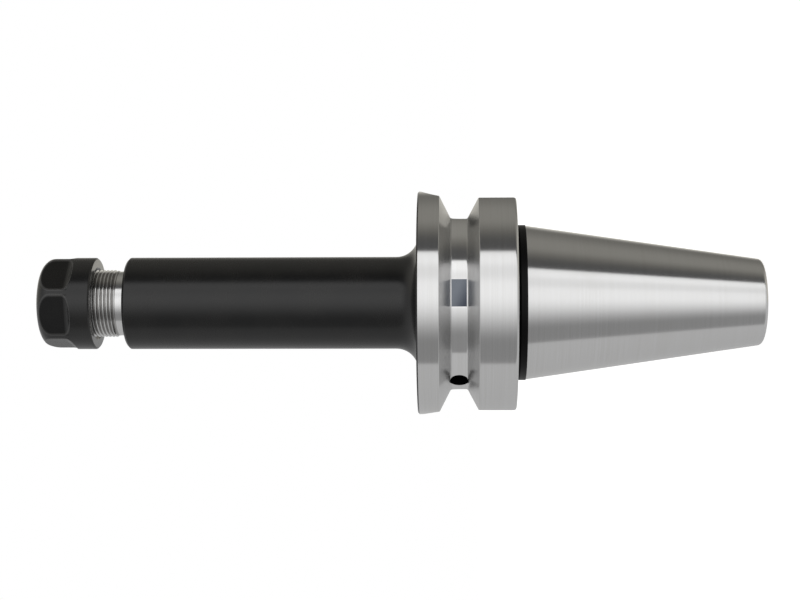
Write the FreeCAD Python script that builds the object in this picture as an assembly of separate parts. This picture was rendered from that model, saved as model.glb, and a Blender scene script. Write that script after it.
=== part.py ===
# Collet chuck holder: a steep-taper spindle holder that grips small cutters.
#
# Three real pieces: the holder body, turned from one bar, the clamping nut, and
# the slit spring collet that the nut presses into the body's nose.
# Frame: millimetres, +Z along the spindle axis towards the nut, origin at the
# centre of the taper's small end. The drive slots are at +X and -X.

import FreeCAD
import Part

import math
import os

from FreeCAD import Vector

# ---- Steep taper, 7 in 24 on the diameter ----
TAPER_ON_DIAMETER = 7.0 / 24.0
GAUGE_DIAMETER = 31.75
TAPER_LENGTH = 48.4
SMALL_END_ROUNDING = 1.0

# ---- Unground land and relief between the taper and the flange ----
RELIEF_WIDTH = 2.0
LAND_WIDTH = 1.3
LAND_STEP = 0.125
RELIEF_STEP = 0.4

# ---- Flange with its gripper groove ----
FLANGE_DIAMETER = 46.0
FLANGE_THICKNESS = 20.0
FLANGE_FRONT_CHAMFER = 0.3
FLANGE_REAR_ROUNDING = 0.7
GROOVE_CENTRE = 11.6
GROOVE_MOUTH = 8.0
GROOVE_DEPTH = 4.0
GROOVE_ANGLE = 60.0
GROOVE_ROOT_ROUNDING = 0.5

# ---- Two drive slots, cut by an end mill from the taper side ----
SLOT_WIDTH = 16.1
SLOT_FLOOR_RISE = 0.425
SLOT_END_CENTRE = 11.4
SLOT_AZIMUTHS = (0.0, 180.0)

# ---- Drilled balance hole and milled marking flat, both on the groove floor ----
BALANCE_HOLE_DIAMETER = 3.8
BALANCE_HOLE_DEPTH = 6.0
BALANCE_HOLE_AZIMUTH = -143.0
MARKING_FLAT_WIDTH = 3.0
MARKING_FLAT_LENGTH = 5.4
MARKING_FLAT_AZIMUTH = -82.0

# ---- Slim extension and its nose ----
BODY_DIAMETER = 19.0
BODY_LENGTH = 60.1
BODY_FILLET = 4.5
SHOULDER_CHAMFER = 0.5
# The M14 x 0.75 thread is left as a plain cylinder inside a plain bore.
THREAD_DIAMETER = 14.0
THREAD_CHAMFER = 0.5
NECK_STEP = 0.35
NECK_LENGTH = 2.1
NOSE_LENGTH = 12.5

# ---- Bores through the body ----
DRAWBAR_TAP_DIAMETER = 10.2
DRAWBAR_TAP_DEPTH = 24.0
DRAWBAR_PILOT_DIAMETER = 12.5
DRAWBAR_PILOT_DEPTH = 7.0
DRAWBAR_CHAMFER = 0.4
COOLANT_DIAMETER = 5.0
SHANK_BORE_DIAMETER = 7.4
SHANK_BORE_DEPTH = 45.0
DRILL_POINT_ANGLE = 118.0

# ---- Spring collet, 8 degree taper behind and 30 degree cone in front ----
COLLET_GAUGE_DIAMETER = 11.0
COLLET_HALF_ANGLE = 8.0
COLLET_TAPER_LENGTH = 13.5
COLLET_GROOVE_WIDTH = 2.0
COLLET_GROOVE_DEPTH = 0.75
COLLET_HEAD_STEP = 0.25
COLLET_HEAD_LAND = 0.5
COLLET_CONE_LENGTH = 2.0
COLLET_CONE_ANGLE = 30.0
COLLET_BORE_DIAMETER = 6.0
COLLET_BORE_CHAMFER = 0.2
SLIT_COUNT = 6
SLIT_WIDTH = 0.5
SLIT_WEB = 3.0
SLIT_AZIMUTH = 7.5

# ---- Clamping nut ----
NUT_WALL = 2.5
NUT_LENGTH = 11.3
NUT_REAR = 6.6
NUT_REAR_CHAMFER = 0.3
NUT_FRONT_ROUNDING = 3.2
NUT_ENTRY_CHAMFER = 0.5
NUT_MOUTH_STEP = 1.3
NUT_MOUTH_CHAMFER = 0.2
FLAT_DEPTH = 1.0
FLAT_LENGTH = 5.6
FLAT_RUNOUT_RADIUS = 2.0
FLAT_COUNT = 6
FLAT_AZIMUTH = -44.0
EJECTOR_OFFSET = 0.6
EJECTOR_BORE_PLAY = 0.05
EJECTOR_LIP_LENGTH = 1.2
EJECTOR_LIP_LIFT = 0.6
HEAD_CAVITY_PLAY = 0.35

# ---- Clearances between pieces ----
THREAD_CLEARANCE = 0.05
CONE_CLEARANCE = 0.03

# ---- Sizes and stations that follow from the values above ----
OVERCUT = 1.0
gauge_radius = GAUGE_DIAMETER / 2
small_end_radius = gauge_radius - TAPER_LENGTH * TAPER_ON_DIAMETER / 2
land_radius = gauge_radius + LAND_STEP
flange_radius = FLANGE_DIAMETER / 2
groove_floor_radius = flange_radius - GROOVE_DEPTH
groove_floor_half = GROOVE_MOUTH / 2 - GROOVE_DEPTH * math.tan(math.radians(GROOVE_ANGLE / 2))
slot_floor = gauge_radius + SLOT_FLOOR_RISE
body_radius = BODY_DIAMETER / 2
thread_radius = THREAD_DIAMETER / 2 - THREAD_CLEARANCE
neck_radius = THREAD_DIAMETER / 2 - NECK_STEP
seat_slope = math.tan(math.radians(COLLET_HALF_ANGLE))
cone_slope = math.tan(math.radians(COLLET_CONE_ANGLE))
seat_mouth_radius = COLLET_GAUGE_DIAMETER / 2
nose_chamfer = min(THREAD_CHAMFER, (thread_radius - seat_mouth_radius) / 2)

gauge_z = TAPER_LENGTH
flange_rear_z = gauge_z + RELIEF_WIDTH
groove_z = flange_rear_z + GROOVE_CENTRE
flange_front_z = flange_rear_z + FLANGE_THICKNESS
shoulder_z = flange_front_z + BODY_LENGTH
nose_z = shoulder_z + NOSE_LENGTH

collet_gauge_z = nose_z + CONE_CLEARANCE / math.sin(math.radians(COLLET_HALF_ANGLE))
collet_rear_z = collet_gauge_z - COLLET_TAPER_LENGTH
collet_head_z = collet_gauge_z + COLLET_GROOVE_WIDTH
collet_cone_z = collet_head_z + COLLET_HEAD_LAND
collet_front_z = collet_cone_z + COLLET_CONE_LENGTH
collet_head_radius = COLLET_GAUGE_DIAMETER / 2 + COLLET_HEAD_STEP

nut_rear_z = shoulder_z + NUT_REAR
nut_front_z = nut_rear_z + NUT_LENGTH
nut_radius = THREAD_DIAMETER / 2 + NUT_WALL


# ---- Outlines of turned shapes ----
def rounded_corner(before, corner, after, radius):
    """Ends and middle of the arc that rounds one corner of an outline."""
    to_before = (before - corner).normalize()
    to_after = (after - corner).normalize()
    half_angle = to_before.getAngle(to_after) / 2
    setback = radius / math.tan(half_angle)
    bisector = (to_before + to_after).normalize()
    centre = corner + bisector * (radius / math.sin(half_angle))
    start = corner + to_before * setback
    end = corner + to_after * setback
    return start, centre - bisector * radius, end


def outline_face(corners):
    """Flat face in the XZ plane from (radius, z) corners; a third number rounds a corner."""
    points = [Vector(corner[0], 0, corner[1]) for corner in corners]
    edges = []
    first = None
    last = None
    for index, corner in enumerate(corners):
        start = middle = end = points[index]
        if len(corner) > 2:
            following = points[(index + 1) % len(points)]
            start, middle, end = rounded_corner(points[index - 1], points[index], following, corner[2])
        if last is not None:
            edges.append(Part.LineSegment(last, start).toShape())
        if len(corner) > 2:
            edges.append(Part.Arc(start, middle, end).toShape())
        if first is None:
            first = start
        last = end
    edges.append(Part.LineSegment(last, first).toShape())
    return Part.Face(Part.Wire(edges))


def turned(corners):
    """Solid turned about the Z axis from an outline."""
    return outline_face(corners).revolve(Vector(0, 0, 0), Vector(0, 0, 1), 360)


def about_axis(shape, azimuth):
    """Copy of a shape turned about the Z axis by an angle in degrees."""
    copy = shape.copy()
    copy.rotate(Vector(0, 0, 0), Vector(0, 0, 1), azimuth)
    return copy


# ---- Holder body ----
def body_outside():
    """Outline of the body from the small end's bore up to the nose face."""
    return [
        (small_end_radius, 0, SMALL_END_ROUNDING),
        (gauge_radius, gauge_z),
        (land_radius, gauge_z),
        (land_radius, gauge_z + LAND_WIDTH),
        (land_radius - RELIEF_STEP, flange_rear_z),
        (flange_radius, flange_rear_z, FLANGE_REAR_ROUNDING),
        (flange_radius, groove_z - GROOVE_MOUTH / 2),
        (groove_floor_radius, groove_z - groove_floor_half, GROOVE_ROOT_ROUNDING),
        (groove_floor_radius, groove_z + groove_floor_half, GROOVE_ROOT_ROUNDING),
        (flange_radius, groove_z + GROOVE_MOUTH / 2),
        (flange_radius, flange_front_z - FLANGE_FRONT_CHAMFER),
        (flange_radius - FLANGE_FRONT_CHAMFER, flange_front_z),
        (body_radius, flange_front_z, BODY_FILLET),
        (body_radius, shoulder_z - SHOULDER_CHAMFER),
        (body_radius - SHOULDER_CHAMFER, shoulder_z),
        (neck_radius, shoulder_z),
        (neck_radius, shoulder_z + NECK_LENGTH - (thread_radius - neck_radius)),
        (thread_radius, shoulder_z + NECK_LENGTH),
        (thread_radius, nose_z - nose_chamfer),
        (thread_radius - nose_chamfer, nose_z),
    ]


def body_inside():
    """Outline of the bores, from the collet seat down to the small end."""
    seat_end_z = nose_z - (seat_mouth_radius - SHANK_BORE_DIAMETER / 2) / seat_slope
    point_slope = math.tan(math.radians(DRILL_POINT_ANGLE / 2))
    shank_z = nose_z - SHANK_BORE_DEPTH
    shank_point_z = shank_z - (SHANK_BORE_DIAMETER - COOLANT_DIAMETER) / 2 / point_slope
    tap_point_z = DRAWBAR_TAP_DEPTH + (DRAWBAR_TAP_DIAMETER - COOLANT_DIAMETER) / 2 / point_slope
    tap_chamfer_z = DRAWBAR_PILOT_DEPTH + DRAWBAR_CHAMFER
    return [
        (seat_mouth_radius, nose_z),
        (SHANK_BORE_DIAMETER / 2, seat_end_z),
        (SHANK_BORE_DIAMETER / 2, shank_z),
        (COOLANT_DIAMETER / 2, shank_point_z),
        (COOLANT_DIAMETER / 2, tap_point_z),
        (DRAWBAR_TAP_DIAMETER / 2, DRAWBAR_TAP_DEPTH),
        (DRAWBAR_TAP_DIAMETER / 2, tap_chamfer_z),
        (DRAWBAR_TAP_DIAMETER / 2 + DRAWBAR_CHAMFER, DRAWBAR_PILOT_DEPTH),
        (DRAWBAR_PILOT_DIAMETER / 2, DRAWBAR_PILOT_DEPTH),
        (DRAWBAR_PILOT_DIAMETER / 2, DRAWBAR_CHAMFER),
        (DRAWBAR_PILOT_DIAMETER / 2 + DRAWBAR_CHAMFER, 0),
    ]


def slot_cutter():
    """Sweep of the end mill that cuts the drive slot at +X."""
    reach = flange_radius + OVERCUT - slot_floor
    run_corner = Vector(slot_floor, -SLOT_WIDTH / 2, flange_rear_z)
    run = Part.makeBox(reach, SLOT_WIDTH, SLOT_END_CENTRE, run_corner)
    end_centre = Vector(slot_floor, 0, flange_rear_z + SLOT_END_CENTRE)
    end = Part.makeCylinder(SLOT_WIDTH / 2, reach, end_centre, Vector(1, 0, 0))
    return run.fuse(end).removeSplitter()


def balance_hole():
    """Blind radial hole with a drill point, at +X."""
    radius = BALANCE_HOLE_DIAMETER / 2
    point_length = radius / math.tan(math.radians(DRILL_POINT_ANGLE / 2))
    floor = groove_floor_radius - BALANCE_HOLE_DEPTH
    outward = Vector(1, 0, 0)
    point = Part.makeCone(0, radius, point_length, Vector(floor - point_length, 0, groove_z), outward)
    drilled = Part.makeCylinder(radius, BALANCE_HOLE_DEPTH + OVERCUT, Vector(floor, 0, groove_z), outward)
    return drilled.fuse(point)


def marking_flat():
    """Shallow end-milled flat that just breaks the groove floor's surface, at +X."""
    half_length = MARKING_FLAT_LENGTH / 2
    flat_distance = math.sqrt(groove_floor_radius ** 2 - half_length ** 2)
    corner = Vector(flat_distance, -half_length, groove_z - MARKING_FLAT_WIDTH / 2)
    return Part.makeBox(OVERCUT, MARKING_FLAT_LENGTH, MARKING_FLAT_WIDTH, corner)


def holder_body():
    body = turned(body_outside() + body_inside())
    cuts = [about_axis(slot_cutter(), azimuth) for azimuth in SLOT_AZIMUTHS]
    cuts.append(about_axis(balance_hole(), BALANCE_HOLE_AZIMUTH))
    cuts.append(about_axis(marking_flat(), MARKING_FLAT_AZIMUTH))
    for cut in cuts:
        body = body.cut(cut)
    return body


# ---- Spring collet ----
def collet_slit(bottom, top, azimuth):
    """Thin radial saw cut between two heights."""
    corner = Vector(0, -SLIT_WIDTH / 2, bottom)
    cut = Part.makeBox(collet_head_radius + OVERCUT, SLIT_WIDTH, top - bottom, corner)
    return about_axis(cut, azimuth)


def spring_collet():
    bore_radius = COLLET_BORE_DIAMETER / 2
    rear_radius = seat_mouth_radius - COLLET_TAPER_LENGTH * seat_slope
    groove_radius = seat_mouth_radius - COLLET_GROOVE_DEPTH
    face_radius = collet_head_radius - COLLET_CONE_LENGTH * cone_slope
    collet = turned([
        (bore_radius + COLLET_BORE_CHAMFER, collet_rear_z),
        (rear_radius, collet_rear_z),
        (seat_mouth_radius, collet_gauge_z),
        (groove_radius, collet_gauge_z),
        (groove_radius, collet_head_z),
        (collet_head_radius, collet_head_z),
        (collet_head_radius, collet_cone_z),
        (face_radius, collet_front_z),
        (bore_radius + COLLET_BORE_CHAMFER, collet_front_z),
        (bore_radius, collet_front_z - COLLET_BORE_CHAMFER),
        (bore_radius, collet_rear_z + COLLET_BORE_CHAMFER),
    ])
    step = 360.0 / SLIT_COUNT
    for index in range(SLIT_COUNT):
        front_azimuth = SLIT_AZIMUTH + index * step
        front_slit = collet_slit(collet_rear_z + SLIT_WEB, collet_front_z + OVERCUT, front_azimuth)
        rear_slit = collet_slit(collet_rear_z - OVERCUT, collet_front_z - SLIT_WEB, front_azimuth + step / 2)
        collet = collet.cut(front_slit).cut(rear_slit)
    return collet


# ---- Clamping nut ----
def flat_cutter():
    """Milling cut for one spanner flat at +X, with a rounded run-out behind it."""
    flat_distance = nut_radius - FLAT_DEPTH
    runout_z = nut_front_z - FLAT_LENGTH - FLAT_RUNOUT_RADIUS
    outside = nut_radius + FLAT_RUNOUT_RADIUS + OVERCUT
    profile = outline_face([
        (flat_distance, nut_front_z + OVERCUT),
        (flat_distance, runout_z, FLAT_RUNOUT_RADIUS),
        (outside, runout_z),
        (outside, nut_front_z + OVERCUT),
    ])
    cutter = profile.extrude(Vector(0, 2 * nut_radius, 0))
    cutter.translate(Vector(0, -nut_radius, 0))
    return cutter


def clamping_nut():
    bore_radius = THREAD_DIAMETER / 2
    mouth_radius = collet_head_radius - NUT_MOUTH_STEP
    lip_rear_z = nose_z + EJECTOR_LIP_LIFT
    lip_front_z = lip_rear_z + EJECTOR_LIP_LENGTH
    ejector_radius = collet_head_radius + EJECTOR_BORE_PLAY
    cavity_radius = collet_head_radius + HEAD_CAVITY_PLAY
    cone_lift = CONE_CLEARANCE / math.sin(math.radians(COLLET_CONE_ANGLE))
    cone_front_z = collet_cone_z + cone_lift + (collet_head_radius - mouth_radius) / cone_slope
    cone_rear_z = collet_cone_z + cone_lift - HEAD_CAVITY_PLAY / cone_slope

    nut = turned([
        (bore_radius + NUT_ENTRY_CHAMFER, nut_rear_z),
        (nut_radius - NUT_REAR_CHAMFER, nut_rear_z),
        (nut_radius, nut_rear_z + NUT_REAR_CHAMFER),
        (nut_radius, nut_front_z, NUT_FRONT_ROUNDING),
        (mouth_radius + NUT_MOUTH_CHAMFER, nut_front_z),
        (mouth_radius, nut_front_z - NUT_MOUTH_CHAMFER),
        (mouth_radius, cone_front_z),
        (cavity_radius, cone_rear_z),
        (cavity_radius, lip_front_z),
        (ejector_radius - EJECTOR_OFFSET, lip_front_z),
        (ejector_radius - EJECTOR_OFFSET, lip_rear_z),
        (bore_radius, lip_rear_z),
        (bore_radius, nut_rear_z + NUT_ENTRY_CHAMFER),
    ])
    for index in range(FLAT_COUNT):
        nut = nut.cut(about_axis(flat_cutter(), FLAT_AZIMUTH + index * 360.0 / FLAT_COUNT))
    ejector_centre = Vector(EJECTOR_OFFSET, 0, lip_rear_z)
    ejector_bore = Part.makeCylinder(ejector_radius, EJECTOR_LIP_LENGTH, ejector_centre)
    return nut.cut(ejector_bore)


# ---- Write one STEP file per piece ----
os.makedirs("parts", exist_ok=True)
PIECES = {
    "holder_body": holder_body(),
    "spring_collet": spring_collet(),
    "clamping_nut": clamping_nut(),
}
for name, shape in PIECES.items():
    solid = shape.Solids[0]
    print(name, "solids", len(shape.Solids), "valid", solid.isValid(), "volume", round(solid.Volume, 1))
    solid.exportStep("parts/" + name + ".step")
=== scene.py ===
"""Collet chuck holder: ground holder body, spring collet and clamping nut, on a pale floor."""

import math

import bmesh
import bpy
from mathutils import Matrix, Vector


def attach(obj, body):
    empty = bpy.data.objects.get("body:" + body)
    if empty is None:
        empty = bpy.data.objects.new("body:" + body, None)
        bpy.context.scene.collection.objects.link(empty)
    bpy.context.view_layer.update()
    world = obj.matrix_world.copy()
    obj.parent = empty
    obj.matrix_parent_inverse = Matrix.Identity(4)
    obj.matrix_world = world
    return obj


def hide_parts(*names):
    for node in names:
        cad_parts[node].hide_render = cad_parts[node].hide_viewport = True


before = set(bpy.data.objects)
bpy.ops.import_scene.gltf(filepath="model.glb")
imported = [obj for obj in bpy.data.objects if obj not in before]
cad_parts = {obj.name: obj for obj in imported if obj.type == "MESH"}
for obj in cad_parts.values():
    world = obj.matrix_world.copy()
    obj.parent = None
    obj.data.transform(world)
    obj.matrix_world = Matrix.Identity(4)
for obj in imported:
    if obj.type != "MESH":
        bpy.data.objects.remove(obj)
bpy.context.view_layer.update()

MM = 0.001

# ---- Sizes in millimetres, the same as the construction's ----
GAUGE_RADIUS = 15.875
TAPER_LENGTH = 48.4
SMALL_END_RADIUS = GAUGE_RADIUS - TAPER_LENGTH * 7 / 48
LAND_RADIUS = 16.0
FLANGE_REAR = 50.4
FLANGE_FRONT = 70.4
FLANGE_RADIUS = 23.0
GROOVE_MIDDLE = 62.0
GROOVE_FLOOR_RADIUS = 19.0
GROOVE_FLOOR_HALF = 4.0 - 4.0 * math.tan(math.radians(30))
SLOT_WIDTH = 16.1
SLOT_FLOOR = 16.3
SLOT_END_MIDDLE = 61.8
SLOT_CHAMFER = 0.2
BODY_RADIUS = 9.5
SHOULDER = 130.5
NECK_RADIUS = 6.65
THREAD_START = 132.3
THREAD_RADIUS = 6.95
THREAD_ROOT_RADIUS = 6.56
THREAD_PITCH = 0.75
NOSE = 143.0
NOSE_RADIUS = 6.45
SEAT_RADIUS = 5.5
SEAT_SLOPE = math.tan(math.radians(8))
POINT_SLOPE = math.tan(math.radians(59))

NUT_REAR = 137.1
NUT_FRONT = 148.4
NUT_RADIUS = 9.5
NUT_FLAT_DISTANCE = 8.5
NUT_RUNOUT_TOP = 142.8
NUT_RUNOUT_RADIUS = 2.0
NUT_FLAT_AZIMUTH = -44.0
NUT_MOUTH_RADIUS = 4.45
NUT_BORE_RADIUS = 7.0
EDGE_WEAR_START = 140.5
EDGE_WEAR_FULL = 141.2
EJECTOR_RADIUS = 5.8
EJECTOR_OFFSET = 0.6

COLLET_GAUGE = NOSE + 0.03 / math.sin(math.radians(8))
COLLET_REAR = COLLET_GAUGE - 13.5
COLLET_FRONT = COLLET_GAUGE + 4.5
COLLET_HEAD_RADIUS = 5.75
CONE_SLOPE = math.tan(math.radians(30))

BALANCE_HOLE_RADIUS = 1.9
BALANCE_HOLE_DEPTH = 6.0
BALANCE_HOLE_AZIMUTH = -143.0
MARKING_FLAT_SIZE = (3.0, 5.4)
MARKING_FLAT_AZIMUTH = -82.0
COLLET_BORE_RADIUS = 3.0
SLIT_COUNT = 12
SLIT_WIDTH = 0.5
SLIT_WEB = 3.0
SLIT_AZIMUTH = 7.5
SHANK_BORE_RADIUS = 3.7
SHANK_BORE_END = NOSE - 45.0
COOLANT_RADIUS = 2.5
DRAWBAR_TAP_RADIUS = 5.1
DRAWBAR_PILOT_RADIUS = 6.25

HOLDER_COLUMNS = 256
COLLET_COLUMNS = 240
NUT_COLUMNS = 600
THREAD_ROWS = 12


# ---- Node trees written as plain arithmetic ----
class Value:
    """One socket of a node, which adds, multiplies and compares like a number."""

    def __init__(self, nodes, socket):
        self.nodes = nodes
        self.socket = socket

    def __getitem__(self, name):
        return Value(self.nodes, self.socket.node.outputs[name])

    def math(self, operation, *others):
        return self.nodes.math(operation, self, *others)

    def __add__(self, other):
        return self.math("ADD", other)

    def __radd__(self, other):
        return self.nodes.math("ADD", other, self)

    def __sub__(self, other):
        return self.math("SUBTRACT", other)

    def __rsub__(self, other):
        return self.nodes.math("SUBTRACT", other, self)

    def __mul__(self, other):
        return self.math("MULTIPLY", other)

    def __rmul__(self, other):
        return self.nodes.math("MULTIPLY", other, self)

    def __truediv__(self, other):
        return self.math("DIVIDE", other)

    def __rtruediv__(self, other):
        return self.nodes.math("DIVIDE", other, self)

    def clamped(self, low, high):
        return self.math("MAXIMUM", low).math("MINIMUM", high)

    def ramp(self, low, high, start=0.0, end=1.0):
        """Smooth step from start to end while the value goes from low to high."""
        sockets = {0: self, 1: low, 2: high, 3: start, 4: end}
        return self.nodes.node("ShaderNodeMapRange", {"interpolation_type": "SMOOTHSTEP"}, sockets)


class Nodes:
    """A node tree that hands out its nodes as values."""

    def __init__(self, tree):
        self.tree = tree
        tree.nodes.clear()

    def node(self, kind, settings=None, sockets=None, output=0):
        made = self.tree.nodes.new(kind)
        for name, value in (settings or {}).items():
            setattr(made, name, value)
        for name, value in (sockets or {}).items():
            if isinstance(value, Value):
                self.tree.links.new(value.socket, made.inputs[name])
            else:
                made.inputs[name].default_value = value
        return Value(self, made.outputs[output]) if len(made.outputs) else None

    def math(self, operation, *values):
        return self.node("ShaderNodeMath", {"operation": operation}, dict(enumerate(values)))

    def mix(self, factor, first, second):
        """Colour between two colours."""
        return self.node("ShaderNodeMix", {"data_type": "RGBA"}, {0: factor, 6: first, 7: second}, 2)

    def vector(self, x, y, z):
        return self.node("ShaderNodeCombineXYZ", {}, {0: x, 1: y, 2: z})

    def split(self, vector):
        parts = self.node("ShaderNodeSeparateXYZ", {}, {0: vector})
        return parts["X"], parts["Y"], parts["Z"]

    def object_place(self):
        """Object coordinates, on which every pattern lies."""
        return self.node("ShaderNodeTexCoord")["Object"]

    def noise(self, vector, scale, detail=2.0, roughness=0.5):
        sockets = {"Vector": vector, "Scale": scale, "Detail": detail, "Roughness": roughness}
        return self.node("ShaderNodeTexNoise", {}, sockets)


def from_axis(x, y):
    """Distance from the Z axis."""
    return (x * x + y * y).math("SQRT")


def grey(value, warmth=0.0):
    """Opaque grey, a little warm or, below zero, a little cool."""
    return (value * (1 + warmth), value, value * (1 - 1.6 * warmth), 1.0)


# ---- Finishes ----
def new_finish(name, settings):
    """Material with a Principled shader whose constant values are set on its own sockets."""
    material = bpy.data.materials.new(name)
    material.use_nodes = True
    nodes = Nodes(material.node_tree)
    shader = nodes.node("ShaderNodeBsdfPrincipled", {}, settings)
    nodes.node("ShaderNodeOutputMaterial", {}, {"Surface": shader})
    return material, nodes, shader.socket.node


def connect(nodes, shader, **values):
    for name, value in values.items():
        nodes.tree.links.new(value.socket, shader.inputs[name.replace("_", " ")])


def tool_marks(nodes, axial_scale, drift):
    """Fine marks that run round the axis, left by turning or grinding, from 0 to 1."""
    x, y, z = nodes.split(nodes.object_place())
    across = (z + from_axis(x, y)) * axial_scale
    return nodes.noise(nodes.vector(x * drift, y * drift, across), 1.0, 3.0, 0.6)


def cloudy(nodes, scale, detail=3.0):
    """Slow uneven variation, from 0 to 1."""
    return nodes.noise(nodes.object_place(), scale, detail, 0.55)


def ground_finish(name, base, roughness, anisotropy, mark_scale, mark_depth, dark_below_radius=None):
    """Bright steel with marks round the axis: sharp reflections across them, drawn out along the axis.

    The last argument, if given, is a radius in millimetres below which the steel is darker, at a
    thread's root.
    """
    settings = {"Metallic": 1.0, "Anisotropic": anisotropy, "Anisotropic Rotation": 0.25}
    material, nodes, shader = new_finish(name, settings)
    marks = tool_marks(nodes, mark_scale, 25.0)
    stain = cloudy(nodes, 90.0)
    colour = nodes.mix(marks.ramp(0.3, 0.7), grey(base * 0.975, 0.004), grey(base * 1.02, 0.0))
    colour = nodes.mix(stain.ramp(0.5, 0.8) * 0.25, colour, grey(base * 0.9, 0.02))
    # Darker below the given radius, at the thread's root
    if dark_below_radius:
        x, y, _ = nodes.split(nodes.object_place())
        outside_dark_root = (from_axis(x, y) * (1 / MM)).ramp(dark_below_radius, dark_below_radius + 0.2)
        colour = nodes.mix(outside_dark_root, grey(base * 0.45, 0.02), colour)
    rough = roughness + (marks - 0.5) * 0.08 + stain.ramp(0.45, 0.8) * 0.02
    bump = nodes.node("ShaderNodeBump", {}, {"Strength": 0.1, "Distance": mark_depth, "Height": marks})
    connect(nodes, shader, Base_Color=colour, Roughness=rough.clamped(0.05, 0.6), Normal=bump)
    return material


def oxide_finish(name, base, roughness, index, edge_attribute=None):
    """Satin black oxide: near-black skin with faint turning marks and uneven sheen."""
    material, nodes, shader = new_finish(name, {"Metallic": 0.0, "IOR": index})
    marks = tool_marks(nodes, 2600.0, 30.0)
    sheen = cloudy(nodes, 140.0, 4.0)
    colour = nodes.mix(sheen.ramp(0.35, 0.7), grey(base * 0.8, -0.02), grey(base * 1.25, 0.02))
    rough = roughness + (sheen - 0.5) * 0.10 + (marks - 0.5) * 0.06
    if edge_attribute:
        edge = nodes.node("ShaderNodeAttribute", {"attribute_name": edge_attribute})["Fac"]
        colour = nodes.mix(edge * (0.5 + 0.5 * sheen), colour, grey(0.09, 0.01))
    bump = nodes.node("ShaderNodeBump", {}, {"Strength": 0.15, "Distance": 2e-6, "Height": marks})
    connect(nodes, shader, Base_Color=colour, Roughness=rough.clamped(0.1, 0.8), Normal=bump)
    return material


def marking_finish():
    """Small milled flat, blue-black, growing lighter across it."""
    material, nodes, shader = new_finish("milled_flat", {"Metallic": 1.0, "Anisotropic": 0.3})
    x, y, z = nodes.split(nodes.object_place())
    across = (z - GROOVE_MIDDLE * MM) * 500.0 + x * 220.0
    grain = nodes.noise(nodes.vector(x * 300.0, y * 300.0, z * 6000.0), 1.0, 2.0)
    fade = (across + (grain - 0.5) * 0.4).ramp(-0.9, 1.1)
    colour = nodes.mix(fade, (0.045, 0.052, 0.07, 1.0), (0.16, 0.175, 0.2, 1.0))
    connect(nodes, shader, Base_Color=colour, Roughness=0.24 + grain * 0.12)
    return material


def bore_finish():
    """Dull drilled steel, darker where oil and oxide stay in it."""
    material, nodes, shader = new_finish("bored_steel", {"Metallic": 1.0})
    marks = tool_marks(nodes, 3500.0, 60.0)
    stain = cloudy(nodes, 220.0)
    colour = nodes.mix(stain.ramp(0.35, 0.7), grey(0.2, 0.02), grey(0.34, 0.02))
    connect(nodes, shader, Base_Color=colour, Roughness=0.34 + marks * 0.16)
    return material


FINISHES = {
    "ground": ground_finish("ground_steel", 0.68, 0.19, 0.95, 4200.0, 1.5e-6),
    "flank": ground_finish("ground_groove_flank", 0.66, 0.25, 0.6, 4200.0, 1e-6),
    "polished": ground_finish("polished_groove", 0.74, 0.15, 0.9, 5200.0, 1e-6),
    "turned": ground_finish("turned_thread_steel", 0.7, 0.2, 0.7, 5200.0, 1.5e-6),
    "thread": ground_finish("threaded_steel", 0.7, 0.2, 0.7, 5200.0, 1.5e-6, THREAD_ROOT_RADIUS + 0.06),
    "oxide": oxide_finish("black_oxide", 0.0075, 0.26, 1.5),
    "relief": oxide_finish("relief_black_oxide", 0.004, 0.42, 1.25),
    "nut": oxide_finish("nut_black_oxide", 0.009, 0.27, 1.5, "edge"),
    "nut_flat": oxide_finish("nut_flat_oxide", 0.006, 0.26, 1.38, "edge"),
    # Nut's rear face: the same black oxide with a much lighter base colour, a painted reflection that
    # lightens the face
    "nut_face_painted_reflection": oxide_finish("nut_rear_oxide_painted_reflection", 0.07, 0.16, 2.0),
    # Balance hole's inside: black oxide made still blacker and duller, painted shade in the hole
    "hole": oxide_finish("drilled_oxide_painted_shade", 0.002, 0.6, 1.2),
    "marking": marking_finish(),
    "bore": bore_finish(),
    "collet": ground_finish("ground_spring_steel", 0.56, 0.25, 0.75, 5200.0, 1.5e-6),
}


# ---- Turned meshes ----
def rounded_corner(before, corner, after, radius):
    """Points along the arc that rounds one corner of an outline."""
    to_before = (before - corner).normalized()
    to_after = (after - corner).normalized()
    half_angle = to_before.angle(to_after) / 2
    bisector = (to_before + to_after).normalized()
    centre = corner + bisector * (radius / math.sin(half_angle))
    start = corner + to_before * (radius / math.tan(half_angle)) - centre
    turn = start.angle_signed(corner + to_after * (radius / math.tan(half_angle)) - centre)
    steps = max(3, math.ceil(abs(math.degrees(turn)) / 7))
    return [centre + Matrix.Rotation(-turn * step / steps, 2) @ start for step in range(steps + 1)]


def outline(corners):
    """Points (radius, z, finish that follows) from corners, which may end in a rounding's radius."""
    points = []
    for index, corner in enumerate(corners):
        here = Vector(corner[:2])
        if len(corner) == 3:
            points.append((here.x, here.y, corner[2]))
            continue
        before = Vector(corners[index - 1][:2])
        after = Vector(corners[(index + 1) % len(corners)][:2])
        points += [(p.x, p.y, corner[2]) for p in rounded_corner(before, here, after, corner[3])]
    return points


def divided(points, spacing, lowest, inmost):
    """The same outline with its long steps divided outside and above the given radius and height."""
    finer = []
    for index, (radius, z, finish) in enumerate(points):
        finer.append((radius, z, finish))
        next_radius, next_z, _ = points[(index + 1) % len(points)]
        if min(z, next_z) < lowest or min(radius, next_radius) < inmost:
            continue
        parts = math.ceil(math.hypot(next_radius - radius, next_z - z) / spacing)
        for part in range(1, parts):
            share = part / parts
            finer.append((radius + (next_radius - radius) * share, z + (next_z - z) * share, finish))
    return finer


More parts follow.
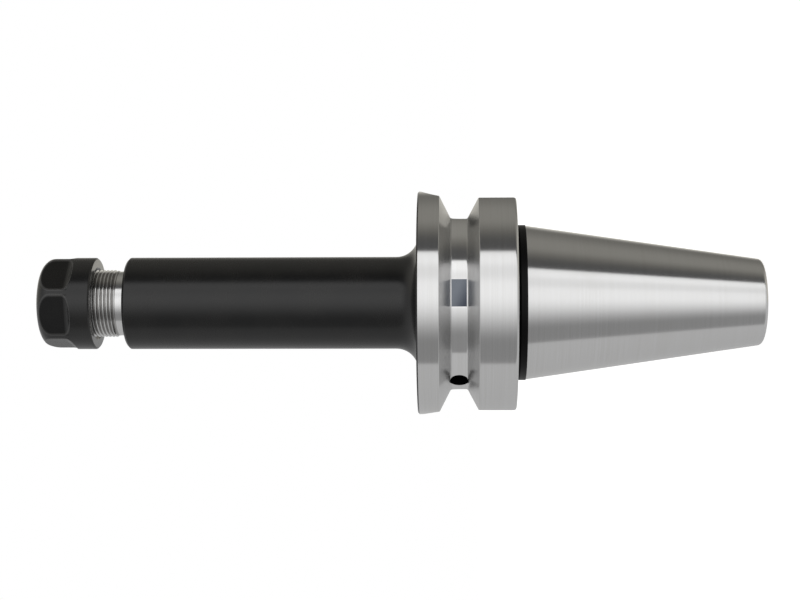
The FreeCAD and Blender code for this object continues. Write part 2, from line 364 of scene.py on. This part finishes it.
def turned_mesh(name, points, columns, finishes):
    """Closed mesh turned about the Z axis from an outline of (radius, z, finish) points."""
    work = bmesh.new()
    rings = []
    for radius, z, _ in points:
        angles = [2 * math.pi * column / columns for column in range(columns)]
        rings.append([work.verts.new((radius * MM * math.cos(a), radius * MM * math.sin(a), z * MM))
                      for a in angles])
    for index, (_, _, finish) in enumerate(points):
        low, high = rings[index], rings[(index + 1) % len(rings)]
        for column in range(columns):
            beside = (column + 1) % columns
            face = work.faces.new((low[column], low[beside], high[beside], high[column]))
            face.material_index = finishes.index(finish)
            face.smooth = True
    bmesh.ops.recalc_face_normals(work, faces=work.faces)
    mesh = bpy.data.meshes.new(name)
    work.to_mesh(mesh)
    work.free()
    for finish in finishes:
        mesh.materials.append(FINISHES[finish])
    return mesh


def new_object(name, mesh):
    made = bpy.data.objects.new(name, mesh)
    bpy.context.scene.collection.objects.link(made)
    return made


def finished_copy(source, name):
    """Plain mesh object of what the source's modifiers give. The source is removed."""
    view_layer = bpy.context.view_layer
    view_layer.update()
    evaluated = source.evaluated_get(bpy.context.evaluated_depsgraph_get())
    mesh = bpy.data.meshes.new_from_object(evaluated)
    mesh.name = name
    made = new_object(name, mesh)
    bpy.data.objects.remove(source)
    return made


def crease(mesh, degrees=28.0):
    """Smooth faces with sharp edges where the surface turns."""
    mesh.polygons.foreach_set("use_smooth", [True] * len(mesh.polygons))
    mesh.set_sharp_from_angle(angle=math.radians(degrees))


def cut(target, cutters, name):
    """The target with the cutters taken away; cut faces keep the cutters' finish."""
    for cutter in cutters:
        boolean = target.modifiers.new("cut", "BOOLEAN")
        boolean.operation = "DIFFERENCE"
        boolean.solver = "EXACT"
        boolean.material_mode = "TRANSFER"
        boolean.object = cutter
    made = finished_copy(target, name)
    for cutter in cutters:
        bpy.data.objects.remove(cutter)
    return made


def loft(name, rings, finish, azimuth=0.0):
    """Closed cutter through rings of points, flat at both ends, turned about the Z axis."""
    work = bmesh.new()
    turn = Matrix.Rotation(math.radians(azimuth), 3, "Z")
    made = [[work.verts.new(turn @ (Vector(point) * MM)) for point in ring] for ring in rings]
    for low, high in zip(made, made[1:]):
        for index in range(len(low)):
            beside = (index + 1) % len(low)
            work.faces.new((low[index], low[beside], high[beside], high[index]))
    work.faces.new(made[0])
    work.faces.new(made[-1])
    bmesh.ops.recalc_face_normals(work, faces=work.faces)
    mesh = bpy.data.meshes.new(name)
    work.to_mesh(mesh)
    work.free()
    mesh.materials.append(FINISHES[finish])
    return new_object(name, mesh)


# ---- Geometry Nodes trees ----
def geometry_tree(name, inputs):
    """Node group with a geometry output and named number inputs; gives it and its input values."""
    group = bpy.data.node_groups.new(name, "GeometryNodeTree")
    group.interface.new_socket("Geometry", in_out="INPUT", socket_type="NodeSocketGeometry")
    for label in inputs:
        group.interface.new_socket(label, in_out="INPUT", socket_type="NodeSocketFloat")
    group.interface.new_socket("Geometry", in_out="OUTPUT", socket_type="NodeSocketGeometry")
    nodes = Nodes(group)
    return group, nodes, nodes.node("NodeGroupInput")


def close_tree(nodes, geometry, material):
    realized = nodes.node("GeometryNodeRealizeInstances", {}, {0: geometry})
    if material:
        sockets = {"Geometry": realized, "Material": material}
        realized = nodes.node("GeometryNodeSetMaterial", {}, sockets)
    nodes.node("NodeGroupOutput", {}, {0: realized})


def run_tree(name, group, values, mesh=None):
    """Plain object that the tree makes with these named inputs."""
    carrier = new_object(name + "_source", mesh or bpy.data.meshes.new(name))
    modifier = carrier.modifiers.new("shape", "NODES")
    modifier.node_group = group
    for item in group.interface.items_tree:
        if item.in_out == "INPUT" and item.name in values:
            modifier[item.identifier] = float(values[item.name])
    return finished_copy(carrier, name)


def thread_tree(columns, rows):
    """Helical thread surface between two plane rings, as a grid that winds round the axis."""
    labels = ["Root Radius", "Thread Height", "Pitch", "Start", "End", "Start Radius", "End Radius",
              "Run In", "Run Out"]
    group, nodes, given = geometry_tree("screw_thread", labels)
    grid = nodes.node("GeometryNodeMeshGrid", {}, {"Vertices X": columns + 1, "Vertices Y": rows})
    index = nodes.node("GeometryNodeInputIndex")
    turn = (index / rows + 1e-4).math("FLOOR") / columns
    row = index - turn * (columns * rows)
    height = given["Start"] + (row / THREAD_ROWS + turn - 1.0) * given["Pitch"]
    height = height.clamped(given["Start"], given["End"])
    phase = ((height - given["Start"]) / given["Pitch"] - turn + 2.0).math("FRACT")
    ridge = 1.0 - (phase - 0.5).math("ABSOLUTE") * 2.0
    ridge = ((ridge - 0.22) / 0.6).clamped(0.0, 1.0)
    radius = given["Root Radius"] + given["Thread Height"] * ridge
    run_in = ((height - given["Start"]) / given["Run In"]).clamped(0.0, 1.0)
    run_out = ((given["End"] - height) / given["Run Out"]).clamped(0.0, 1.0)
    radius = given["Start Radius"] + (radius - given["Start Radius"]) * run_in
    radius = given["End Radius"] + (radius - given["End Radius"]) * run_out
    angle = turn * (2 * math.pi)
    place = nodes.vector(radius * angle.math("COSINE"), radius * angle.math("SINE"), height)
    moved = nodes.node("GeometryNodeSetPosition", {}, {"Geometry": grid, "Position": place})
    merged = nodes.node("GeometryNodeMergeByDistance", {}, {"Geometry": moved, "Distance": 2e-7})
    close_tree(nodes, merged, FINISHES["thread"])
    return group


def screw_thread(name, columns, values):
    length = values["End"] - values["Start"]
    rows = THREAD_ROWS * (math.ceil(length / values["Pitch"]) + 1) + 1
    scaled = {label: value * MM for label, value in values.items()}
    return run_tree(name, thread_tree(columns, rows), scaled)


def flats_tree():
    """Mills flats round a turned nut: each point moves in to the flat, with softened edges."""
    labels = ["Flat Distance", "Runout Top", "Runout Radius", "Azimuth", "Count", "Edge Softness"]
    group, nodes, given = geometry_tree("spanner_flats", labels)
    x, y, z = nodes.split(nodes.node("GeometryNodeInputPosition"))
    radius = from_axis(x, y)
    angle = y.math("ARCTAN2", x)
    step = (2 * math.pi) / given["Count"]
    from_flat = ((angle - given["Azimuth"]) / step + 20.5).math("FRACT") - 0.5
    below = (given["Runout Top"] - z).clamped(0.0, given["Runout Radius"])
    runout = (given["Runout Radius"] * given["Runout Radius"] - below * below).math("SQRT")
    distance = given["Flat Distance"] + given["Runout Radius"] - runout
    flat_radius = distance / (from_flat * step).math("COSINE")
    softened = nodes.math("SMOOTH_MIN", radius, flat_radius, given["Edge Softness"])
    scale = softened / radius
    off_edge = (radius - flat_radius).math("ABSOLUTE") / (given["Edge Softness"] * 1.2)
    edge = (1.0 - off_edge.clamped(0.0, 1.0)) * z.ramp(EDGE_WEAR_START * MM, EDGE_WEAR_FULL * MM)
    place = nodes.vector(x * scale, y * scale, z)
    stored = nodes.node("GeometryNodeStoreNamedAttribute", {"data_type": "FLOAT", "domain": "POINT"},
                        {"Geometry": given["Geometry"], "Name": "edge", "Value": edge})
    moved = nodes.node("GeometryNodeSetPosition", {}, {"Geometry": stored, "Position": place})
    close_tree(nodes, moved, None)
    return group


def saw_tree(count):
    """Saw blades that slit a collet, taken alternately from its front and its rear."""
    labels = ["Width", "Inner Radius", "Reach", "Length", "Front Start", "Rear Start", "Azimuth"]
    group, nodes, given = geometry_tree("slitting_saws", labels)
    size = nodes.vector(given["Reach"], given["Width"], given["Length"])
    blade = nodes.node("GeometryNodeMeshCube", {}, {"Size": size})
    points = nodes.node("GeometryNodeMeshLine", {}, {"Count": count})
    index = nodes.node("GeometryNodeInputIndex")
    from_rear = (index / 2.0).math("FRACT") * 2.0
    angle = given["Azimuth"] + index * (2 * math.pi / count)
    middle = given["Inner Radius"] + given["Reach"] / 2.0
    bottom = given["Front Start"] + (given["Rear Start"] - given["Front Start"]) * from_rear
    place = nodes.vector(middle * angle.math("COSINE"), middle * angle.math("SINE"),
                         bottom + given["Length"] / 2.0)
    placed = nodes.node("GeometryNodeSetPosition", {}, {"Geometry": points, "Position": place})
    spun = nodes.vector(0.0, 0.0, angle)
    blades = nodes.node("GeometryNodeInstanceOnPoints", {},
                        {"Points": placed, "Instance": blade, "Rotation": spun})
    close_tree(nodes, blades, FINISHES["bore"])
    return group


# ---- Holder body ----
def flank_radius(from_middle):
    """Radius of the groove's 30 degree flank at a distance from the groove's middle."""
    return GROOVE_FLOOR_RADIUS + (from_middle - GROOVE_FLOOR_HALF) * math.sqrt(3)


def holder_outline():
    seat_end = NOSE - (SEAT_RADIUS - SHANK_BORE_RADIUS) / SEAT_SLOPE
    bore_point = (SHANK_BORE_RADIUS - COOLANT_RADIUS) / POINT_SLOPE
    tap_point = (DRAWBAR_TAP_RADIUS - COOLANT_RADIUS) / POINT_SLOPE
    return outline([
        (SMALL_END_RADIUS, 0.0, "ground", 1.0),
        (GAUGE_RADIUS, TAPER_LENGTH, "relief"),
        (LAND_RADIUS, TAPER_LENGTH, "relief"),
        (LAND_RADIUS, TAPER_LENGTH + 1.3, "relief"),
        (LAND_RADIUS - 0.4, FLANGE_REAR, "oxide"),
        (FLANGE_RADIUS, FLANGE_REAR, "ground", 0.7),
        (FLANGE_RADIUS, GROOVE_MIDDLE - 4.0, "flank", 0.22),
        (flank_radius(2.9), GROOVE_MIDDLE - 2.9, "flank"),
        (flank_radius(2.35), GROOVE_MIDDLE - 2.35, "flank"),
        (GROOVE_FLOOR_RADIUS, GROOVE_MIDDLE - GROOVE_FLOOR_HALF, "polished", 0.5),
        (GROOVE_FLOOR_RADIUS, GROOVE_MIDDLE + GROOVE_FLOOR_HALF, "flank", 0.5),
        (flank_radius(2.35), GROOVE_MIDDLE + 2.35, "flank"),
        (flank_radius(2.9), GROOVE_MIDDLE + 2.9, "flank"),
        (FLANGE_RADIUS, GROOVE_MIDDLE + 4.0, "ground", 0.22),
        (FLANGE_RADIUS, FLANGE_FRONT - 0.3, "oxide"),
        (FLANGE_RADIUS - 0.3, FLANGE_FRONT, "oxide"),
        (BODY_RADIUS, FLANGE_FRONT, "oxide", 4.5),
        (BODY_RADIUS, SHOULDER - 0.5, "oxide", 0.3),
        (BODY_RADIUS - 0.5, SHOULDER, "oxide", 0.2),
        (NECK_RADIUS, SHOULDER, "turned", 0.15),
        (NECK_RADIUS, THREAD_START, "turned"),
        (NOSE_RADIUS, NOSE, "turned"),
        (SEAT_RADIUS, NOSE, "ground"),
        (SHANK_BORE_RADIUS, seat_end, "bore"),
        (SHANK_BORE_RADIUS, SHANK_BORE_END, "bore"),
        (COOLANT_RADIUS, SHANK_BORE_END - bore_point, "bore"),
        (COOLANT_RADIUS, 24.0 + tap_point, "bore"),
        (DRAWBAR_TAP_RADIUS, 24.0, "turned"),
        (DRAWBAR_TAP_RADIUS, 7.4, "bore"),
        (DRAWBAR_TAP_RADIUS + 0.4, 7.0, "bore"),
        (DRAWBAR_PILOT_RADIUS, 7.0, "bore"),
        (DRAWBAR_PILOT_RADIUS, 0.4, "bore"),
        (DRAWBAR_PILOT_RADIUS + 0.4, 0.0, "oxide"),
    ])


def slot_ring(middle_x, spread, around=None):
    """Outline of a drive slot: straight sides and a round end, on a plane or on a cylinder."""
    half = SLOT_WIDTH / 2 + spread
    flat = [(-half, FLANGE_REAR - 1.0), (half, FLANGE_REAR - 1.0)]
    arc = [(half * math.cos(math.radians(a)), SLOT_END_MIDDLE + half * math.sin(math.radians(a)))
           for a in range(0, 181, 4)]
    return [(math.sqrt(around ** 2 - y ** 2) if around else middle_x, y, z) for y, z in flat + arc]


def slot_cutter(azimuth):
    spread = 3 * SLOT_CHAMFER
    rings = [slot_ring(SLOT_FLOOR, 0.0), slot_ring(None, 0.0, FLANGE_RADIUS - SLOT_CHAMFER),
             slot_ring(None, spread, FLANGE_RADIUS + 2 * SLOT_CHAMFER), slot_ring(25.0, spread)]
    return loft("slot_mill", rings, "oxide", azimuth)


def circle_ring(radius, x):
    steps = [math.radians(5.625 * index) for index in range(64)]
    return [(x, radius * math.cos(a), GROOVE_MIDDLE + radius * math.sin(a)) for a in steps]


def balance_drill():
    floor = GROOVE_FLOOR_RADIUS - BALANCE_HOLE_DEPTH
    rings = [circle_ring(0.05, floor - BALANCE_HOLE_RADIUS / POINT_SLOPE),
             circle_ring(BALANCE_HOLE_RADIUS, floor), circle_ring(BALANCE_HOLE_RADIUS, 20.5)]
    return loft("balance_drill", rings, "hole", BALANCE_HOLE_AZIMUTH)


def marking_mill():
    width, length = MARKING_FLAT_SIZE
    side = length / 2
    distance = math.sqrt(GROOVE_FLOOR_RADIUS ** 2 - side ** 2)
    low, high = GROOVE_MIDDLE - width / 2, GROOVE_MIDDLE + width / 2
    rings = [[(x, -side, low), (x, side, low), (x, side, high), (x, -side, high)]
             for x in (distance, 20.0)]
    return loft("marking_mill", rings, "marking", MARKING_FLAT_AZIMUTH)


def join_thread(body, thread, low, high, inner, outer):
    """Puts a threaded surface in place of the plain one between two rings of the body."""
    work = bmesh.new()
    work.from_mesh(body.data)
    plain = []
    for face in work.faces:
        middle = face.calc_center_median()
        radius = math.hypot(middle.x, middle.y) / MM
        if low < middle.z / MM < high and inner < radius < outer:
            plain.append(face)
    bmesh.ops.delete(work, geom=plain, context="FACES")
    finish = body.data.materials.find(FINISHES["thread"].name)
    thread.data.polygons.foreach_set("material_index", [finish] * len(thread.data.polygons))
    work.from_mesh(thread.data)
    bmesh.ops.remove_doubles(work, verts=work.verts, dist=3e-7)
    bmesh.ops.recalc_face_normals(work, faces=work.faces)
    work.to_mesh(body.data)
    work.free()
    bpy.data.objects.remove(thread)


def make_holder():
    finishes = ["ground", "flank", "polished", "oxide", "relief", "turned", "thread", "bore", "marking"]
    mesh = turned_mesh("holder", holder_outline(), HOLDER_COLUMNS, finishes)
    blank = new_object("holder_blank", mesh)
    cutters = [slot_cutter(0.0), slot_cutter(180.0), balance_drill(), marking_mill()]
    body = cut(blank, cutters, "holder")
    nose_thread = screw_thread("nose_thread", HOLDER_COLUMNS, {
        "Root Radius": THREAD_ROOT_RADIUS, "Thread Height": THREAD_RADIUS - THREAD_ROOT_RADIUS,
        "Pitch": THREAD_PITCH, "Start": THREAD_START, "End": NOSE, "Start Radius": NECK_RADIUS,
        "End Radius": NOSE_RADIUS, "Run In": 0.75, "Run Out": 0.5})
    join_thread(body, nose_thread, THREAD_START, NOSE - 0.001, 6.2, 7.2)
    crease(body.data)
    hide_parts("holder_body")
    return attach(body, "holder")


# ---- Spring collet ----
def collet_outline():
    rear_radius = SEAT_RADIUS - 13.5 * SEAT_SLOPE
    face_radius = COLLET_HEAD_RADIUS - 2.0 * CONE_SLOPE
    return outline([
        (COLLET_BORE_RADIUS + 0.2, COLLET_REAR, "collet"),
        (rear_radius, COLLET_REAR, "collet", 0.1),
        (SEAT_RADIUS, COLLET_GAUGE, "collet", 0.06),
        (SEAT_RADIUS - 0.75, COLLET_GAUGE, "collet"),
        (SEAT_RADIUS - 0.75, COLLET_GAUGE + 2.0, "collet"),
        (COLLET_HEAD_RADIUS, COLLET_GAUGE + 2.0, "collet", 0.06),
        (COLLET_HEAD_RADIUS, COLLET_GAUGE + 2.5, "collet", 0.06),
        (face_radius, COLLET_FRONT, "collet", 0.12),
        (COLLET_BORE_RADIUS + 0.2, COLLET_FRONT, "collet"),
        (COLLET_BORE_RADIUS, COLLET_FRONT - 0.2, "collet"),
        (COLLET_BORE_RADIUS, COLLET_REAR + 0.2, "collet"),
    ])


def make_collet():
    mesh = turned_mesh("collet", collet_outline(), COLLET_COLUMNS, ["collet", "bore"])
    blank = new_object("collet_blank", mesh)
    overrun = 1.0
    length = COLLET_FRONT - COLLET_REAR - SLIT_WEB + overrun
    blades = run_tree("saw_blades", saw_tree(SLIT_COUNT), {
        "Width": SLIT_WIDTH * MM, "Inner Radius": 1.6 * MM, "Reach": 6.0 * MM, "Length": length * MM,
        "Front Start": (COLLET_REAR + SLIT_WEB) * MM, "Rear Start": (COLLET_REAR - overrun) * MM,
        "Azimuth": math.radians(SLIT_AZIMUTH)})
    collet = cut(blank, [blades], "collet")
    crease(collet.data)
    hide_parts("spring_collet")
    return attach(collet, "collet")


# ---- Clamping nut ----
def nut_outline():
    lift = 0.03 / math.sin(math.radians(30))
    cone = COLLET_GAUGE + 2.5 + lift
    points = outline([
        (NUT_BORE_RADIUS + 0.5, NUT_REAR, "nut_face_painted_reflection"),
        (NUT_RADIUS - 0.3, NUT_REAR, "nut", 0.06),
        (NUT_RADIUS, NUT_REAR + 0.3, "nut", 0.12),
        (NUT_RADIUS, NUT_RUNOUT_TOP - NUT_RUNOUT_RADIUS - 0.1, "nut"),
        (NUT_RADIUS, NUT_FRONT, "nut", 3.2),
        (NUT_MOUTH_RADIUS + 0.2, NUT_FRONT, "nut", 0.06),
        (NUT_MOUTH_RADIUS, NUT_FRONT - 0.2, "nut"),
        (NUT_MOUTH_RADIUS, cone + (COLLET_HEAD_RADIUS - NUT_MOUTH_RADIUS) / CONE_SLOPE, "nut"),
        (COLLET_HEAD_RADIUS + 0.35, cone - 0.35 / CONE_SLOPE, "nut"),
        (COLLET_HEAD_RADIUS + 0.35, NOSE + 1.8, "nut"),
        (5.2, NOSE + 1.8, "nut"),
        (5.2, NOSE + 0.6, "nut"),
        (NUT_BORE_RADIUS, NOSE + 0.6, "nut"),
        (NUT_BORE_RADIUS, NUT_REAR + 0.5, "nut_face_painted_reflection"),
    ])
    return divided(points, 0.13, NUT_RUNOUT_TOP - NUT_RUNOUT_RADIUS - 0.2, 6.2)


def widen_ejector(mesh):
    """Moves the ejector lip's inner edge out to its offset circle."""
    for vertex in mesh.vertices:
        x, y, z = (value / MM for value in vertex.co)
        if NOSE + 0.5 < z < NOSE + 1.9 and math.hypot(x, y) < 5.3:
            angle = math.atan2(y, x)
            across = EJECTOR_OFFSET * math.sin(angle)
            reach = EJECTOR_OFFSET * math.cos(angle) + math.sqrt(EJECTOR_RADIUS ** 2 - across ** 2)
            vertex.co.x = reach * MM * math.cos(angle)
            vertex.co.y = reach * MM * math.sin(angle)


def darken_flats(mesh, finish):
    """Gives the milled flats their own finish, a little darker than the turned skirt."""
    for face in mesh.polygons:
        x, y, z = (value / MM for value in face.center)
        from_flat = (math.degrees(math.atan2(y, x)) - NUT_FLAT_AZIMUTH + 30) % 60 - 30
        distance = math.hypot(x, y) * math.cos(math.radians(from_flat))
        if z > NUT_RUNOUT_TOP - 1.2 and abs(distance - NUT_FLAT_DISTANCE) < 0.05:
            face.material_index = finish


def make_nut():
    finishes = ["nut", "nut_face_painted_reflection", "nut_flat"]
    mesh = turned_mesh("nut", nut_outline(), NUT_COLUMNS, finishes)
    widen_ejector(mesh)
    nut = run_tree("nut", flats_tree(), {
        "Flat Distance": NUT_FLAT_DISTANCE * MM, "Runout Top": NUT_RUNOUT_TOP * MM,
        "Runout Radius": NUT_RUNOUT_RADIUS * MM, "Azimuth": math.radians(NUT_FLAT_AZIMUTH), "Count": 6,
        "Edge Softness": 0.16 * MM}, mesh)
    darken_flats(nut.data, finishes.index("nut_flat"))
    crease(nut.data, 40.0)
    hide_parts("clamping_nut")
    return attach(nut, "nut")


# ---- Floor, light and camera ----
def make_floor():
    """Pale floor that stays white to the camera and keeps the holder's soft shadow."""
    work = bmesh.new()
    bmesh.ops.create_circle(work, cap_ends=True, segments=96, radius=4.0)
    mesh = bpy.data.meshes.new("floor")
    work.to_mesh(mesh)
    work.free()
    mesh.transform(Matrix.Translation((0, 0, -0.00003)))
    floor = new_object("floor", mesh)
    material = bpy.data.materials.new("pale_floor")
    material.use_nodes = True
    nodes = Nodes(material.node_tree)
    seen = nodes.node("ShaderNodeLightPath")["Is Camera Ray"]
    paper = nodes.node("ShaderNodeBsdfDiffuse", {}, {"Color": grey(0.8)})
    glow = nodes.node("ShaderNodeEmission", {}, {"Color": grey(1.0), "Strength": seen * 0.75})
    both = nodes.node("ShaderNodeAddShader", {}, {0: paper, 1: glow})
    nodes.node("ShaderNodeOutputMaterial", {}, {"Surface": both})
    mesh.materials.append(material)
    floor.visible_glossy = False


VIEW_AZIMUTH = math.radians(-88.0)
CAMERA_ROLL = math.radians(0.13)
CAMERA_DISTANCE = 335.5
CAMERA_HEIGHT = 62.8
CAMERA_TARGET_HEIGHT = 74.2
CAMERA_OFFSET = 0.58


def studio_light(nodes):
    """Soft light tent round the axis: bright side, dark flag above it, even wall below it."""
    direction = nodes.node("ShaderNodeTexCoord")["Generated"]
    x, y, z = nodes.split(direction)
    ahead = x * math.cos(VIEW_AZIMUTH) + y * math.sin(VIEW_AZIMUTH)
    above = y * math.cos(VIEW_AZIMUTH) - x * math.sin(VIEW_AZIMUTH)
    angle = above.math("ARCTAN2", ahead) * (180 / math.pi)
    # Bright panel in front: fades in from below, has one dimmer stretch and ends in a sharp edge.
    key = 0.30 + angle.ramp(-42, 10) * 0.90 - angle.ramp(18, 30) * angle.ramp(34, 44, 1, 0) * 0.16
    key_edge = angle.ramp(52.5, 54.5)
    # Dark flag above it, which lets more light past towards the back.
    flag = 0.10 + angle.ramp(64, 96) * 0.19 - angle.ramp(104, 142) * 0.10 + angle.ramp(142, 176) * 0.62
    # Even wall below.
    wall = 0.57 - angle.ramp(-64, -150) * 0.04
    round_axis = key + (flag - key) * key_edge
    round_axis = round_axis + (wall - round_axis) * angle.ramp(-63, -65.5)
    # One even grey at both ends of the axis.
    end = z.math("ABSOLUTE").ramp(0.55, 0.95)
    strength = round_axis + (0.62 - round_axis) * end
    tint = nodes.mix(key_edge * angle.ramp(60, 80) * 0.8, (1.0, 1.0, 1.0, 1.0), (1.0, 0.965, 0.86, 1.0))
    return tint, strength


def make_world():
    world = bpy.data.worlds.new("studio")
    world.use_nodes = True
    bpy.context.scene.world = world
    nodes = Nodes(world.node_tree)
    tint, strength = studio_light(nodes)
    lit = nodes.node("ShaderNodeBackground", {}, {"Color": tint, "Strength": strength})
    seen = nodes.node("ShaderNodeBackground", {}, {"Color": (1, 1, 1, 1), "Strength": 1.0})
    camera_ray = nodes.node("ShaderNodeLightPath")["Is Camera Ray"]
    both = nodes.node("ShaderNodeMixShader", {}, {0: camera_ray, 1: lit, 2: seen})
    nodes.node("ShaderNodeOutputWorld", {}, {"Surface": both})


def make_camera():
    """Level camera square to the axis, rolled so that the axis lies across the frame."""
    towards = Vector((math.cos(VIEW_AZIMUTH), math.sin(VIEW_AZIMUTH), 0.0))
    upward = Vector((-math.sin(VIEW_AZIMUTH), math.cos(VIEW_AZIMUTH), 0.0))
    data = bpy.data.cameras.new("camera")
    data.sensor_width = 36.0
    data.lens = 72.95
    data.clip_start, data.clip_end = 0.01, 50.0
    camera = new_object("camera", data)
    beside = upward * CAMERA_OFFSET
    camera.location = (towards * CAMERA_DISTANCE + beside + Vector((0, 0, CAMERA_HEIGHT))) * MM
    target = (beside + Vector((0, 0, CAMERA_TARGET_HEIGHT))) * MM
    forward = (target - camera.location).normalized()
    top = upward * math.cos(CAMERA_ROLL) - Vector((0, 0, 1)) * math.sin(CAMERA_ROLL)
    right = forward.cross(top).normalized()
    top = right.cross(forward)
    turn = Matrix((right, top, -forward)).transposed()
    camera.rotation_mode = "QUATERNION"
    camera.rotation_quaternion = turn.to_quaternion()
    bpy.context.scene.camera = camera


make_holder()
make_collet()
make_nut()
make_floor()
make_world()
make_camera()
bpy.context.scene.view_settings.view_transform = "Standard"
